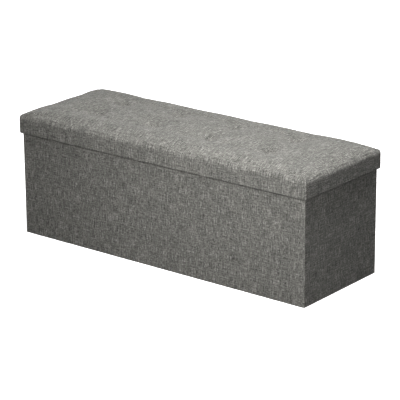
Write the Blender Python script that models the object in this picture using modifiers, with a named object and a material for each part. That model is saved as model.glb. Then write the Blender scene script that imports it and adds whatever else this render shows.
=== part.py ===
"""A long storage bench: a covered box, a loose floor panel, a steel divider frame and a tufted lift-off lid.

Metres, +Z up. The origin is on the floor under the middle of the bench, +X runs along it and -Y is the front.
"""

from math import cos, hypot, pi, sin

import bmesh
import bpy
from mathutils import Matrix, Vector

# Driving dimensions
LID_LENGTH = 1.100
LID_DEPTH = 0.380
OVERHANG = 0.008  # from the box's cover out to the lid's skirt, on every side
RIM_Z = 0.3620  # top of the box's walls, which the lid rests on
SKIRT_Z = 0.3290  # lower edge of the lid's skirt
SEAT_EDGE_Z = 0.3910  # where the seat's top begins to crown
SEAT_CROWN = 0.0250  # rise of the crown above that edge
GAP = 0.0003  # between pieces that touch

# Thicknesses
COVER_T = 0.0010
SEAT_COVER_T = 0.0012
WALL_T = 0.0050
LINING_T = 0.0008
BASE_T = 0.0012
FLOOR_T = 0.0050
RAIL_T = 0.0045
LID_BOARD_T = 0.0090

# Box
BOX_X = LID_LENGTH / 2 - OVERHANG
BOX_Y = LID_DEPTH / 2 - OVERHANG
BINDING_DROP = 0.0100
FOLD_GAP = 0.0020  # between the two halves of an end board

# Floor panel
PANEL_PLAY = 0.0010
FLANGE = 0.0200  # how far its cover turns under the board
TAB_SIZE = (0.0200, 0.0600, 0.0016)
TAB_X = 0.4700

# Divider frame
HOOP_R = 0.0080
HOOP_Y = 0.1550
BEND_R = 0.0300
BEND_STEPS = 6
RAIL_R = 0.0060
RAIL_Z = 0.0600
BAR_R = 0.0030
BAR_COUNT = 4
BAR_PITCH = 0.0620
FOOT_R = 0.0105
FOOT_H = 0.0180
FOOT_FLOOR = 0.0030

# Lid
EDGE_R = 0.0120  # soft rounding of the seat's upper edge
CROWN_REACH = 0.1200
LINING_PLAY = 0.0010  # between the lid's lining and the box's cover
TUFT_X = (-0.3300, -0.1100, 0.1100, 0.3300)
TUFT_Y = (-0.0625, 0.0625)
TUFT_Z = 0.3915  # outer face of the seat cover under a button
TUFT_FLAT = 0.0150  # half the flat square under a button
TUFT_REACH = 0.0600
BUTTON_R = 0.0130
BUTTON_H = 0.0058
WASHER_R = 0.0100
WASHER_T = 0.0016
RECESS_R = 0.0120
RECESS_DEPTH = 0.0024
STEM_R = 0.0016
STEM_HOLE_R = 0.0030
FOAM_DROP = 0.0050  # from the cover's outer face down to the foam's

# Heights that follow
FLOOR_COVER_Z = BASE_T + GAP
FLOOR_BOARD_Z = FLOOR_COVER_Z + LINING_T + GAP
FLOOR_TOP_Z = FLOOR_BOARD_Z + FLOOR_T + GAP + LINING_T
LID_LINING_Z = RIM_Z + GAP
LID_BOARD_Z = LID_LINING_Z + LINING_T + GAP
FOAM_Z = LID_BOARD_Z + LID_BOARD_T + GAP

COLOURS = {
    "linen": ((0.165, 0.163, 0.152), 0.90, 0.0),
    "lining": ((0.020, 0.020, 0.021), 0.95, 0.0),
    "fibreboard": ((0.330, 0.220, 0.130), 0.80, 0.0),
    "foam": ((0.750, 0.690, 0.520), 0.95, 0.0),
    "black_steel": ((0.018, 0.018, 0.019), 0.45, 0.0),
    "black_plastic": ((0.022, 0.022, 0.023), 0.50, 0.0),
    "webbing": ((0.030, 0.030, 0.031), 0.85, 0.0),
    "zinc_steel": ((0.600, 0.610, 0.620), 0.35, 1.0),
}


def clear_scene():
    for obj in list(bpy.data.objects):
        bpy.data.objects.remove(obj, do_unlink=True)


def new_collection(name):
    collection = bpy.data.collections.new(name)
    bpy.context.scene.collection.children.link(collection)
    return collection


def new_material(name):
    colour, roughness, metallic = COLOURS[name]
    material = bpy.data.materials.new(name)
    material.use_nodes = True
    shader = material.node_tree.nodes["Principled BSDF"]
    shader.inputs["Base Color"].default_value = (*colour, 1.0)
    shader.inputs["Roughness"].default_value = roughness
    shader.inputs["Metallic"].default_value = metallic
    return material


clear_scene()
PARTS = new_collection("storage_bench")
CUTTERS = new_collection("cutters")
MATERIALS = {name: new_material(name) for name in COLOURS}


def new_body(name, z):
    """An empty on the lift axis, which carries the pieces that move together."""
    body = bpy.data.objects.new(name + "_body", None)
    body.location = (0.0, 0.0, z)
    PARTS.objects.link(body)
    return body


BOX = new_body("box", 0.0)
FLOOR_PANEL = new_body("floor_panel", FLOOR_COVER_Z)
DIVIDER = new_body("divider_frame", FLOOR_TOP_Z + GAP)
LID = new_body("lid", RIM_Z)


def add_part(name, data, body, material, centre):
    """Links a piece whose data is drawn about centre, given in world coordinates."""
    obj = bpy.data.objects.new(name, data)
    data.materials.append(MATERIALS[material])
    PARTS.objects.link(obj)
    obj.parent = body
    obj.location = Vector(centre) - body.location
    return obj


def mesh_from(bm, name, smooth=False):
    bmesh.ops.recalc_face_normals(bm, faces=bm.faces)
    mesh = bpy.data.meshes.new(name)
    bm.to_mesh(mesh)
    bm.free()
    if smooth:
        mesh.shade_smooth()
        mesh.set_sharp_from_angle(angle=pi / 4)
    return mesh


def slab(name, body, material, low, high, bevel=0.0):
    """A box between two world corners, with softened edges if bevel is given."""
    low, high = Vector(low), Vector(high)
    bm = bmesh.new()
    bmesh.ops.create_cube(bm, size=1.0, matrix=Matrix.Diagonal((*(high - low), 1.0)))
    obj = add_part(name, mesh_from(bm, name), body, material, (low + high) / 2)
    if bevel:
        modifier = obj.modifiers.new("Bevel", "BEVEL")
        modifier.width = bevel
        modifier.segments = 1
    return obj


def rectangle(bm, half_x, half_y, z):
    corners = ((-half_x, -half_y), (half_x, -half_y), (half_x, half_y), (-half_x, half_y))
    return [bm.verts.new((x, y, z)) for x, y in corners]


def tray(name, body, material, loops, thickness, capped):
    """A shell through rectangular loops (half length, half depth, z), thickened inwards from them."""
    bm = bmesh.new()
    rings = [rectangle(bm, *loop) for loop in loops]
    for lower, upper in zip(rings, rings[1:]):
        for i in range(4):
            j = (i + 1) % 4
            bm.faces.new((lower[i], lower[j], upper[j], upper[i]))
    if capped:
        bm.faces.new(rings[-1])
    mesh = bpy.data.meshes.new(name)
    bm.to_mesh(mesh)
    bm.free()
    obj = add_part(name, mesh, body, material, (0.0, 0.0, 0.0))
    modifier = obj.modifiers.new("Solidify", "SOLIDIFY")
    modifier.solidify_mode = "NON_MANIFOLD"
    modifier.nonmanifold_thickness_mode = "CONSTRAINTS"
    modifier.nonmanifold_merge_threshold = 0.00001
    modifier.thickness = thickness
    modifier.offset = -1.0
    return obj


def turned(name, body, material, profile, centre, steps):
    """A turned solid about +Z through centre; the profile (radius, height) runs down its outer side."""
    bm = bmesh.new()
    verts = [bm.verts.new((radius, 0.0, height)) for radius, height in profile]
    for first, second in zip(verts, verts[1:]):
        bm.edges.new((first, second))
    mesh = bpy.data.meshes.new(name)
    bm.to_mesh(mesh)
    bm.free()
    obj = add_part(name, mesh, body, material, centre)
    screw = obj.modifiers.new("Screw", "SCREW")
    screw.steps = steps
    screw.render_steps = steps
    screw.use_merge_vertices = True
    screw.merge_threshold = 0.00005
    screw.use_smooth_shade = True
    return obj


def tube(name, body, material, points, radius, resolution):
    """A round tube along points given in world coordinates, with filled ends."""
    curve = bpy.data.curves.new(name, "CURVE")
    curve.dimensions = "3D"
    curve.bevel_depth = radius
    curve.bevel_resolution = resolution
    curve.use_fill_caps = True
    spline = curve.splines.new("POLY")
    spline.points.add(len(points) - 1)
    for point, place in zip(spline.points, points):
        point.co = (*place, 1.0)
    return add_part(name, curve, body, material, (0.0, 0.0, 0.0))


def tuft_places():
    return [(x, y) for y in TUFT_Y for x in TUFT_X]


def tuft_cutter(name, radius, low, high, sides):
    """One upright cylinder at each tuft."""
    bm = bmesh.new()
    for x, y in tuft_places():
        place = Matrix.Translation((x, y, (low + high) / 2))
        bmesh.ops.create_cone(
            bm, cap_ends=True, segments=sides, radius1=radius, radius2=radius, depth=high - low, matrix=place
        )
    cutter = bpy.data.objects.new(name, mesh_from(bm, name))
    cutter.hide_render = True
    cutter.display_type = "WIRE"
    CUTTERS.objects.link(cutter)
    return cutter


def cut(obj, cutter):
    modifier = obj.modifiers.new("Cut " + cutter.name, "BOOLEAN")
    modifier.operation = "DIFFERENCE"
    modifier.solver = "EXACT"
    modifier.object = cutter


# The box


def base_cloth():
    slab("base_cloth", BOX, "lining", (-BOX_X, -BOX_Y, 0.0), (BOX_X, BOX_Y, BASE_T))


def walls():
    """Cover, board and lining of each wall, from outside in."""
    bottom = BASE_T + GAP
    top = RIM_Z - COVER_T - GAP
    skin_top = RIM_Z - BINDING_DROP - GAP
    board = COVER_T + GAP
    lining = board + WALL_T + GAP
    inner = lining + LINING_T
    inside_x, inside_y = BOX_X - inner, BOX_Y - inner
    for side, name in ((-1, "front"), (1, "back")):
        y = [side * (BOX_Y - depth) for depth in (0.0, COVER_T, board, board + WALL_T, lining, inner)]
        skin = (-BOX_X, min(y[0:2]), bottom), (BOX_X, max(y[0:2]), skin_top)
        slab(name + "_cover", BOX, "linen", *skin)
        core = (board - BOX_X, min(y[2:4]), bottom), (BOX_X - board, max(y[2:4]), top)
        slab(name + "_board", BOX, "fibreboard", *core, bevel=0.0004)
        sheet = (-inside_x, min(y[4:6]), bottom), (inside_x, max(y[4:6]), skin_top)
        slab(name + "_lining", BOX, "lining", *sheet)
    for side, name in ((-1, "left_end"), (1, "right_end")):
        x = [side * (BOX_X - depth) for depth in (0.0, COVER_T, board, board + WALL_T, lining, inner)]
        cover_y = BOX_Y - COVER_T - GAP
        slab(name + "_cover", BOX, "linen", (min(x[0:2]), -cover_y, bottom), (max(x[0:2]), cover_y, skin_top))
        end_board_halves(name, min(x[2:4]), max(x[2:4]), bottom, top)
        lining_y = inside_y - GAP
        low, high = (min(x[4:6]), -lining_y, bottom), (max(x[4:6]), lining_y, skin_top)
        slab(name + "_lining", BOX, "lining", low, high)


def end_board_halves(name, x0, x1, bottom, top):
    """An end board in two halves, which meet at the fold line in the middle of the end."""
    outer_y = BOX_Y - COVER_T - GAP - WALL_T - GAP
    fold_y = FOLD_GAP / 2
    low_front, high_front = (x0, -outer_y, bottom), (x1, -fold_y, top)
    low_back, high_back = (x0, fold_y, bottom), (x1, outer_y, top)
    slab(name + "_board_front", BOX, "fibreboard", low_front, high_front, bevel=0.0004)
    slab(name + "_board_back", BOX, "fibreboard", low_back, high_back, bevel=0.0004)


def rim_binding():
    """Tape folded over the boards' upper edge all round, flush with the cover and the lining."""
    inner = COVER_T + GAP + WALL_T + GAP + LINING_T
    low = RIM_Z - BINDING_DROP
    loops = (
        (BOX_X, BOX_Y, low),
        (BOX_X, BOX_Y, RIM_Z),
        (BOX_X - inner, BOX_Y - inner, RIM_Z),
        (BOX_X - inner, BOX_Y - inner, low),
    )
    tray("rim_binding", BOX, "webbing", loops, LINING_T, capped=False)


# The floor panel


def panel_half_sizes():
    wall = COVER_T + GAP + WALL_T + GAP + LINING_T + PANEL_PLAY
    return BOX_X - wall, BOX_Y - wall


def floor_board():
    half_x, half_y = (size - LINING_T - GAP for size in panel_half_sizes())
    top = FLOOR_BOARD_Z + FLOOR_T
    low, high = (-half_x, -half_y, FLOOR_BOARD_Z), (half_x, half_y, top)
    slab("floor_board", FLOOR_PANEL, "fibreboard", low, high, bevel=0.0004)


def floor_cover():
    """Non-woven cloth over the board, turned under its edges."""
    half_x, half_y = panel_half_sizes()
    loops = (
        (half_x - FLANGE, half_y - FLANGE, FLOOR_COVER_Z),
        (half_x, half_y, FLOOR_COVER_Z),
        (half_x, half_y, FLOOR_TOP_Z),
    )
    tray("floor_cover", FLOOR_PANEL, "lining", loops, LINING_T, capped=True)


def pull_tabs():
    for side, name in ((-1, "pull_tab_left"), (1, "pull_tab_right")):
        half = [size / 2 for size in TAB_SIZE]
        x, z = side * TAB_X, FLOOR_TOP_Z + GAP
        low, high = (x - half[0], -half[1], z), (x + half[0], half[1], z + TAB_SIZE[2])
        slab(name, FLOOR_PANEL, "webbing", low, high, bevel=0.0004)


# The divider frame


def hoop_points():
    """Up one leg, round a bend, across the top, round the other bend and down."""
    foot = FLOOR_TOP_Z + GAP + FOOT_FLOOR + GAP
    top = RIM_Z - HOOP_R
    arc = []
    for step in range(BEND_STEPS + 1):
        angle = pi / 2 * step / BEND_STEPS
        arc.append((HOOP_Y - BEND_R * (1 - cos(angle)), top - BEND_R * (1 - sin(angle))))
    rising = [(0.0, -y, z) for y, z in arc]
    falling = [(0.0, y, z) for y, z in reversed(arc)]
    return [(0.0, -HOOP_Y, foot)] + rising + falling + [(0.0, HOOP_Y, foot)]


def divider_hoop():
    tube("divider_hoop", DIVIDER, "black_steel", hoop_points(), HOOP_R, resolution=3)


def divider_rail():
    half = HOOP_Y - HOOP_R - GAP
    ends = [(0.0, -half, RAIL_Z), (0.0, half, RAIL_Z)]
    tube("divider_rail", DIVIDER, "black_steel", ends, RAIL_R, resolution=3)


def divider_bars():
    low = RAIL_Z + RAIL_R + GAP
    high = RIM_Z - 2 * HOOP_R - GAP
    for i in range(BAR_COUNT):
        y = (i - (BAR_COUNT - 1) / 2) * BAR_PITCH
        ends = [(0.0, y, low), (0.0, y, high)]
        tube(f"divider_bar_{i + 1}", DIVIDER, "black_steel", ends, BAR_R, resolution=2)


def divider_feet():
    """A plastic cup on the end of each leg."""
    inner = HOOP_R + GAP
    profile = (
        (inner, FOOT_H),
        (FOOT_R - 0.0005, FOOT_H),
        (FOOT_R, FOOT_H - 0.0005),
        (FOOT_R, 0.0),
        (0.0, 0.0),
    )
    bore = ((0.0, FOOT_FLOOR), (inner, FOOT_FLOOR), (inner, FOOT_H))
    for side, name in ((-1, "divider_foot_front"), (1, "divider_foot_back")):
        centre = (0.0, side * HOOP_Y, FLOOR_TOP_Z + GAP)
        turned(name, DIVIDER, "black_plastic", bore[:-1] + profile, centre, steps=16)


# The lid


def crown(distance):
    reach = min(max(distance, 0.0) / CROWN_REACH, 1.0)
    return 1.0 - (1.0 - reach) ** 2


def seat_height(x, y):
    """The cover's outer face: a crown between the edges, drawn down at each tuft."""
    rise = crown(LID_LENGTH / 2 - EDGE_R - abs(x)) * crown(LID_DEPTH / 2 - EDGE_R - abs(y))
    z = SEAT_EDGE_Z + SEAT_CROWN * rise
    flat = TUFT_FLAT * 2**0.5 + 0.0005
    nearest = min(hypot(x - tx, y - ty) for tx, ty in tuft_places())
    along = min(max((nearest - flat) / (TUFT_REACH - flat), 0.0), 1.0)
    return TUFT_Z + (z - TUFT_Z) * (1.0 - cos(pi * along)) / 2


def grid_lines(tufts, edge):
    """Lines beside each tuft, midway between tufts, and near the edge."""
    offsets = (-0.0450, -TUFT_FLAT, TUFT_FLAT, 0.0450)
    lines = {round(tuft + offset, 6) for tuft in tufts for offset in offsets}
    lines |= {round((a + b) / 2, 6) for a, b in zip(tufts, tufts[1:])}
    lines |= {-edge, edge, -edge + 0.0300, edge - 0.0300}
    return sorted(lines)


def seat_top(bm, inset, drop):
    """The seat's top as a grid, inset from the edge and drop below the cover's outer face."""
    xs = grid_lines(TUFT_X, LID_LENGTH / 2 - EDGE_R)
    ys = grid_lines(TUFT_Y, LID_DEPTH / 2 - EDGE_R)
    rows = []
    for y in ys:
        row = []
        for x in xs:
            place = (x - inset * (x / xs[-1]), y - inset * (y / ys[-1]), seat_height(x, y) - drop)
            row.append(bm.verts.new(place))
        rows.append(row)
    for lower, upper in zip(rows, rows[1:]):
        for i in range(len(xs) - 1):
            bm.faces.new((lower[i], lower[i + 1], upper[i + 1], upper[i]))


def extrude_rim(bm, edges, spread, z):
    """Extrudes the open rim sideways by spread and moves it to height z; gives the new rim."""
    result = bmesh.ops.extrude_edge_only(bm, edges=edges)["geom"]
    verts = [item for item in result if isinstance(item, bmesh.types.BMVert)]
    reach_x = max(vert.co.x for vert in verts)
    reach_y = max(vert.co.y for vert in verts)
    for vert in verts:
        if reach_x - abs(vert.co.x) < 0.0001:
            vert.co.x += spread if vert.co.x > 0 else -spread
        if reach_y - abs(vert.co.y) < 0.0001:
            vert.co.y += spread if vert.co.y > 0 else -spread
        vert.co.z = z
    return [item for item in result if isinstance(item, bmesh.types.BMEdge)]


def open_rim(bm):
    return [edge for edge in bm.edges if edge.is_boundary]


def seat_cover():
    """Top and skirt in one fabric, turned under the rails."""
    bm = bmesh.new()
    seat_top(bm, 0.0, 0.0)
    rim = extrude_rim(bm, open_rim(bm), EDGE_R * 0.7, SEAT_EDGE_Z - EDGE_R * 0.3)
    rim = extrude_rim(bm, rim, EDGE_R * 0.3, SEAT_EDGE_Z - EDGE_R)
    rim = extrude_rim(bm, rim, 0.0, SKIRT_Z)
    turn_under = OVERHANG - LINING_PLAY
    extrude_rim(bm, rim, -turn_under, SKIRT_Z)
    bmesh.ops.recalc_face_normals(bm, faces=bm.faces)
    mesh = bpy.data.meshes.new("seat_cover")
    bm.to_mesh(mesh)
    bm.free()
    obj = add_part("seat_cover", mesh, LID, "linen", (0.0, 0.0, 0.0))
    modifier = obj.modifiers.new("Solidify", "SOLIDIFY")
    modifier.thickness = SEAT_COVER_T
    modifier.offset = -1.0
    modifier.use_even_offset = True
    mesh.shade_smooth()


def seat_foam():
    bm = bmesh.new()
    seat_top(bm, FOAM_DROP, FOAM_DROP)
    rim = extrude_rim(bm, open_rim(bm), EDGE_R * 0.7, SEAT_EDGE_Z - EDGE_R * 0.3 - FOAM_DROP)
    rim = extrude_rim(bm, rim, EDGE_R * 0.3, SEAT_EDGE_Z - EDGE_R)
    rim = extrude_rim(bm, rim, 0.0, FOAM_Z)
    bmesh.ops.contextual_create(bm, geom=rim)
    foam = add_part("seat_foam", mesh_from(bm, "seat_foam"), LID, "foam", (0.0, 0.0, 0.0))
    cut(foam, STEM_CUTTER)


def lid_board():
    half_x, half_y = (size / 2 - SEAT_COVER_T - GAP - RAIL_T - GAP for size in (LID_LENGTH, LID_DEPTH))
    low, high = (-half_x, -half_y, LID_BOARD_Z), (half_x, half_y, LID_BOARD_Z + LID_BOARD_T)
    board = slab("lid_board", LID, "fibreboard", low, high)
    top = LID_BOARD_Z + RECESS_DEPTH
    cut(board, tuft_cutter("recess_cutter", RECESS_R, LID_BOARD_Z - 0.001, top, sides=16))
    cut(board, STEM_CUTTER)


def lid_rails():
    """Four strips that carry the skirt; the front and back ones run the full length."""
    out_x, out_y = (size / 2 - SEAT_COVER_T - GAP for size in (LID_LENGTH, LID_DEPTH))
    bottom, top = SKIRT_Z + SEAT_COVER_T + GAP, LID_BOARD_Z + LID_BOARD_T
    in_x, in_y = out_x - RAIL_T, out_y - RAIL_T
    end_y = in_y - GAP
    bevel = 0.0004
    slab("lid_rail_front", LID, "fibreboard", (-out_x, -out_y, bottom), (out_x, -in_y, top), bevel)
    slab("lid_rail_back", LID, "fibreboard", (-out_x, in_y, bottom), (out_x, out_y, top), bevel)
    slab("lid_rail_left", LID, "fibreboard", (-out_x, -end_y, bottom), (-in_x, end_y, top), bevel)
    slab("lid_rail_right", LID, "fibreboard", (in_x, -end_y, bottom), (out_x, end_y, top), bevel)


def lid_lining():
    """Non-woven cloth under the board and down the inner faces of the rails."""
    inset = SEAT_COVER_T + GAP + RAIL_T + GAP
    half_x, half_y = LID_LENGTH / 2 - inset, LID_DEPTH / 2 - inset
    top = LID_LINING_Z + LINING_T
    loops = ((half_x, half_y, SKIRT_Z + SEAT_COVER_T + GAP), (half_x, half_y, top))
    tray("lid_lining", LID, "lining", loops, LINING_T, capped=True)


def tufts():
    """A covered button on the seat, and the washer and stem that hold it down."""
    button = (
        (0.0, BUTTON_H),
        (BUTTON_R * 0.45, BUTTON_H * 0.94),
        (BUTTON_R * 0.80, BUTTON_H * 0.74),
        (BUTTON_R, BUTTON_H * 0.35),
        (BUTTON_R * 0.92, 0.0),
        (0.0, 0.0),
    )
    washer_z = LID_BOARD_Z + GAP
    stem_top = TUFT_Z - SEAT_COVER_T - GAP - washer_z
    anchor = (
        (0.0, stem_top),
        (STEM_R, stem_top),
        (STEM_R, WASHER_T),
        (WASHER_R, WASHER_T),
        (WASHER_R, 0.0),
        (0.0, 0.0),
    )
    for number, (x, y) in enumerate(tuft_places(), start=1):
        turned(f"tuft_button_{number}", LID, "linen", button, (x, y, TUFT_Z + GAP), steps=16)
        turned(f"tuft_anchor_{number}", LID, "zinc_steel", anchor, (x, y, washer_z), steps=12)


ABOVE_SEAT_Z = SEAT_EDGE_Z + 2 * SEAT_CROWN
STEM_CUTTER = tuft_cutter("stem_cutter", STEM_HOLE_R, LID_BOARD_Z - 0.001, ABOVE_SEAT_Z, sides=12)

base_cloth()
walls()
rim_binding()
floor_board()
floor_cover()
pull_tabs()
divider_hoop()
divider_rail()
divider_bars()
divider_feet()
lid_board()
lid_rails()
lid_lining()
seat_foam()
seat_cover()
tufts()
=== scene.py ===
from math import atan2, cos, hypot, pi, radians, sin

import bmesh
import bpy
import numpy as np
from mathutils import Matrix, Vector, noise


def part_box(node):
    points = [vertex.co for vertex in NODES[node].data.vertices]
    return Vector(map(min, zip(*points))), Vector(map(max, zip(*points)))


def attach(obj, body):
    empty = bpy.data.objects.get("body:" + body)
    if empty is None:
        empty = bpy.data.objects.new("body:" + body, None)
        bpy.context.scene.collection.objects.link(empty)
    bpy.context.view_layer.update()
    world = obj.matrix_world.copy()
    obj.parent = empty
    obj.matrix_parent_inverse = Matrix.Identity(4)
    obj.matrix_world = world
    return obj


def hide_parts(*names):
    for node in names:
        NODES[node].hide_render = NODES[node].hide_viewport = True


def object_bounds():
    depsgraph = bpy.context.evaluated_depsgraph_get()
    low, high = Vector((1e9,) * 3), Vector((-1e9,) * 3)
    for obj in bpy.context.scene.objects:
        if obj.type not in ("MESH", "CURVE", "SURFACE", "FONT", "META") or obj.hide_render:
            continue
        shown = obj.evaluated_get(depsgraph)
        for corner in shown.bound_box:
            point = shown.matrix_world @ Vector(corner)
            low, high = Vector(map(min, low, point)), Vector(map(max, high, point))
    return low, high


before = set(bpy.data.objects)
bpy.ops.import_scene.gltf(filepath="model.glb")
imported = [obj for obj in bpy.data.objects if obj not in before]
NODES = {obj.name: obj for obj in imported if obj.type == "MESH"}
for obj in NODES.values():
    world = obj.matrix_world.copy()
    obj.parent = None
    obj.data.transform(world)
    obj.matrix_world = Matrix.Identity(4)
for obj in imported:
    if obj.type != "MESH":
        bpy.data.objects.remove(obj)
CAD_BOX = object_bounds()

# Where things are, from the frame
SEAT_LOW, SEAT_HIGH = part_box("seat_cover")
BOX_LOW, BOX_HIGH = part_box("rim_binding")
BASE_LOW, BASE_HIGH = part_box("base_cloth")
COVER_LOW, COVER_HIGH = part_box("front_cover")
LINING_LOW, LINING_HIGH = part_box("front_lining")
END_LINING_LOW, END_LINING_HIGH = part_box("right_end_lining")
LID_BOARD_LOW, LID_BOARD_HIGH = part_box("lid_board")
FOAM_LOW, FOAM_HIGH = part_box("seat_foam")
UNDER_LOW, UNDER_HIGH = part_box("lid_lining")
PANEL_LOW, PANEL_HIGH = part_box("floor_cover")
BUTTONS = [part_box(f"tuft_button_{i}") for i in range(1, 9)]
TUFTS = [((low + high) / 2).xy for low, high in BUTTONS]
BUTTON_R = (BUTTONS[0][1].x - BUTTONS[0][0].x) / 2
LINING_T = END_LINING_HIGH.x - END_LINING_LOW.x
GAP = 0.0003  # between pieces that touch
TUFT_Z = BUTTONS[0][0].z - GAP
LINEN_T = 0.0008
NONWOVEN_T = 0.0006

# Camera, fitted to the photograph's view
CAMERA_AZIMUTH = 38.57
CAMERA_ELEVATION = 18.64
CAMERA_ROLL = -0.43
CAMERA_DISTANCE = 6.248
CAMERA_LENS = 184.0
LOOK_AT = Vector((0.0184, 0.0, 0.1719))


def set_camera():
    azimuth, elevation = radians(CAMERA_AZIMUTH), radians(CAMERA_ELEVATION)
    back = Vector((sin(azimuth) * cos(elevation), -cos(azimuth) * cos(elevation), sin(elevation)))
    data = bpy.data.cameras.new("camera")
    data.lens = CAMERA_LENS
    data.sensor_width = 36.0
    data.clip_end = 50.0
    camera = bpy.data.objects.new("camera", data)
    bpy.context.scene.collection.objects.link(camera)
    camera.location = LOOK_AT + back * CAMERA_DISTANCE
    camera.rotation_euler = (-back).to_track_quat("-Z", "Y").to_euler()
    camera.rotation_euler.rotate_axis("Z", radians(CAMERA_ROLL))
    bpy.context.scene.camera = camera


# Materials


class Graph:
    """A node tree with short calls for the nodes that the materials use."""

    def __init__(self, name):
        self.material = bpy.data.materials.new(name)
        self.material.use_nodes = True
        self.tree = self.material.node_tree
        self.shader = self.tree.nodes["Principled BSDF"]

    def node(self, kind, **settings):
        made = self.tree.nodes.new(kind)
        for key, value in settings.items():
            setattr(made, key, value)
        return made

    def link(self, source, target):
        self.tree.links.new(source, target)

    def feed(self, socket, value):
        if isinstance(value, bpy.types.NodeSocket):
            self.link(value, socket)
        else:
            socket.default_value = value

    def math(self, operation, first, second=0.0):
        made = self.node("ShaderNodeMath", operation=operation)
        self.feed(made.inputs[0], first)
        self.feed(made.inputs[1], second)
        return made.outputs[0]

    def scaled(self, vector, scale):
        made = self.node("ShaderNodeVectorMath", operation="MULTIPLY")
        self.feed(made.inputs[0], vector)
        made.inputs[1].default_value = scale
        return made.outputs[0]

    def noise(self, vector, scale=1.0, detail=2.0, rough=0.5, distortion=0.0):
        made = self.node("ShaderNodeTexNoise")
        self.feed(made.inputs["Vector"], vector)
        made.inputs["Scale"].default_value = scale
        made.inputs["Detail"].default_value = detail
        made.inputs["Roughness"].default_value = rough
        made.inputs["Distortion"].default_value = distortion
        return made.outputs["Fac"]

    def ramp(self, value, stops):
        made = self.node("ShaderNodeValToRGB")
        self.feed(made.inputs[0], value)
        elements = made.color_ramp.elements
        while len(elements) < len(stops):
            elements.new(0.5)
        for element, (place, colour) in zip(elements, stops):
            element.position = place
            element.color = (*colour, 1.0)
        return made.outputs[0]

    def mix(self, factor, first, second, blend="MIX"):
        made = self.node("ShaderNodeMix", data_type="RGBA", blend_type=blend)
        self.feed(made.inputs["Factor"], factor)
        self.feed(made.inputs["A"], first)
        self.feed(made.inputs["B"], second)
        return made.outputs["Result"]

    def bump(self, height, distance, strength=1.0, normal=None):
        made = self.node("ShaderNodeBump")
        made.inputs["Distance"].default_value = distance
        made.inputs["Strength"].default_value = strength
        self.feed(made.inputs["Height"], height)
        if normal is not None:
            self.link(normal, made.inputs["Normal"])
        return made.outputs["Normal"]

    def finish(self, colour, normal=None, roughness=0.8, **constants):
        self.feed(self.shader.inputs["Base Color"], colour)
        self.feed(self.shader.inputs["Roughness"], roughness)
        if normal is not None:
            self.link(normal, self.shader.inputs["Normal"])
        for key, value in constants.items():
            self.shader.inputs[key.replace("_", " ")].default_value = value
        return self.material


def cloth_axes(graph, pitch):
    """Across and along coordinates in yarns of pitch metres, from the cloth's own flat layout."""
    uv = graph.node("ShaderNodeUVMap", uv_map="cloth").outputs[0]
    split = graph.node("ShaderNodeSeparateXYZ")
    graph.link(graph.scaled(uv, (1 / pitch, 1 / pitch, 0.0)), split.inputs[0])
    return uv, split.outputs[0], split.outputs[1]


def yarn_height(graph, across):
    """A rounded yarn in each unit of across: 0 between yarns and 1 on top of one."""
    return graph.math("ABSOLUTE", graph.math("SINE", graph.math("MULTIPLY", across, pi)))


LINEN_YARN = 0.00095
LINEN_STOPS = (
    (0.36, (0.031, 0.031, 0.028)),
    (0.46, (0.112, 0.110, 0.100)),
    (0.55, (0.240, 0.236, 0.217)),
    (0.65, (0.525, 0.517, 0.480)),
)
# Painted highlight: how much lighter the linen is painted along the ridges of the corner seams.
SEAM_HIGHLIGHT = (1.55, 1.55, 1.55, 1.0)


def linen_material():
    """A plain weave of heathered slub yarns: each yarn changes from dark to light grey along its length."""
    g = Graph("heathered_linen")
    uv, across, along = cloth_axes(g, LINEN_YARN)
    long_warp = g.noise(g.scaled(uv, (430.0, 28.0, 0.0)), detail=1.5)
    short_warp = g.noise(g.scaled(uv, (520.0, 120.0, 0.0)), detail=1.5)
    long_weft = g.noise(g.scaled(uv, (26.0, 440.0, 0.0)), detail=1.5)
    short_weft = g.noise(g.scaled(uv, (110.0, 530.0, 0.0)), detail=1.5)
    warp = g.math("MULTIPLY", g.math("ADD", long_warp, short_warp), 0.5)
    weft = g.math("MULTIPLY", g.math("ADD", long_weft, short_weft), 0.5)
    column, row = g.math("FLOOR", across), g.math("FLOOR", along)
    over = g.math("MODULO", g.math("ABSOLUTE", g.math("ADD", column, row)), 2.0)
    warp_share = g.math("ADD", g.math("MULTIPLY", over, 0.12), 0.52)
    woven = g.mix(warp_share, g.ramp(weft, LINEN_STOPS), g.ramp(warp, LINEN_STOPS))
    yarn_tone = g.noise(g.scaled(uv, (2100.0, 260.0, 0.0)), detail=2.0)
    fine = g.ramp(yarn_tone, ((0.3, (0.80, 0.80, 0.80)), (0.7, (1.20, 1.20, 1.20))))
    patches = g.noise(g.scaled(uv, (16.0, 11.0, 0.0)), detail=3.0)
    tone = g.ramp(patches, ((0.3, (0.90, 0.90, 0.90)), (0.7, (1.10, 1.095, 1.09))))
    cloth = g.mix(1.0, g.mix(1.0, woven, fine, "MULTIPLY"), tone, "MULTIPLY")
    # Painted highlight: the linen is lightened along the ridges of the corner seams, where the seam attribute
    # is high.
    seam = g.node("ShaderNodeAttribute", attribute_name="seam").outputs["Fac"]
    colour = g.mix(1.0, cloth, g.mix(seam, (1.0, 1.0, 1.0, 1.0), SEAM_HIGHLIGHT), "MULTIPLY")
    warp_top = g.math("MULTIPLY", yarn_height(g, across), over)
    weft_top = g.math("MULTIPLY", yarn_height(g, along), g.math("SUBTRACT", 1.0, over))
    slub = g.math("MULTIPLY", g.math("ADD", warp, weft), 0.8)
    height = g.math("ADD", g.math("ADD", warp_top, weft_top), slub)
    normal = g.bump(height, 0.00028, 0.6)
    gloss = {"Sheen_Weight": 0.12, "Sheen_Roughness": 0.45, "Specular_IOR_Level": 0.2}
    return g.finish(colour, normal, roughness=0.88, **gloss)


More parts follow.
